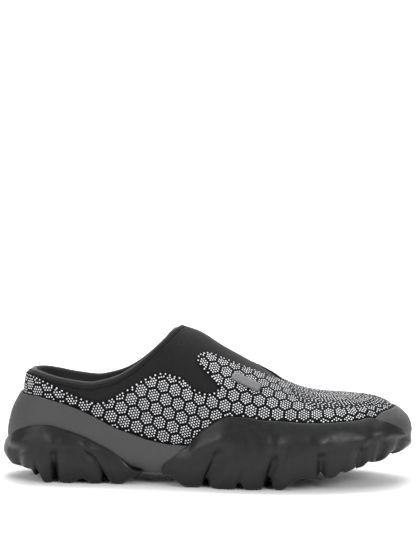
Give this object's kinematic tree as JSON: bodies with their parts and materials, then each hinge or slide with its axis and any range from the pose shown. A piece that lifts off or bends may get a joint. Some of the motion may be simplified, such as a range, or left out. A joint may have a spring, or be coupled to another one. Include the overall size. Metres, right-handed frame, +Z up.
{
  "type": "slip-on sneaker",
  "caption": "Low slip-on sneaker for a right foot: stretch upper with a mesh layer, foam midsole cup and a deep lugged rubber outsole that wraps up its sides.",
  "frame": {"origin": "on the floor, under the centre of the shoe's bounding box", "axes": "+X towards the toe, +Y towards the wearer's left (the inner side of this right shoe), +Z up"},
  "size_m": [0.3016, 0.1134, 0.113],
  "materials": {
    "upper": "matt black foam-backed stretch cloth",
    "mesh_overlay": "black mesh printed with pale grey dots in honeycomb cells",
    "collar_roll": "soft rolled black lining",
    "midsole": "matt dark grey moulded foam",
    "insole": "black cloth-faced foam board",
    "outsole_forefoot": "charcoal moulded rubber, slightly satin",
    "outsole_heel": "charcoal moulded rubber, slightly satin",
    "side_tab": "plain satin silver metal"
  },
  "bodies": {
    "root": {"upper": "upper", "mesh_overlay": "mesh_overlay", "collar_roll": "collar_roll", "midsole": "midsole", "insole": "insole", "outsole_forefoot": "outsole_forefoot", "outsole_heel": "outsole_heel", "side_tab": "side_tab"}
  },
  "joints": []
}
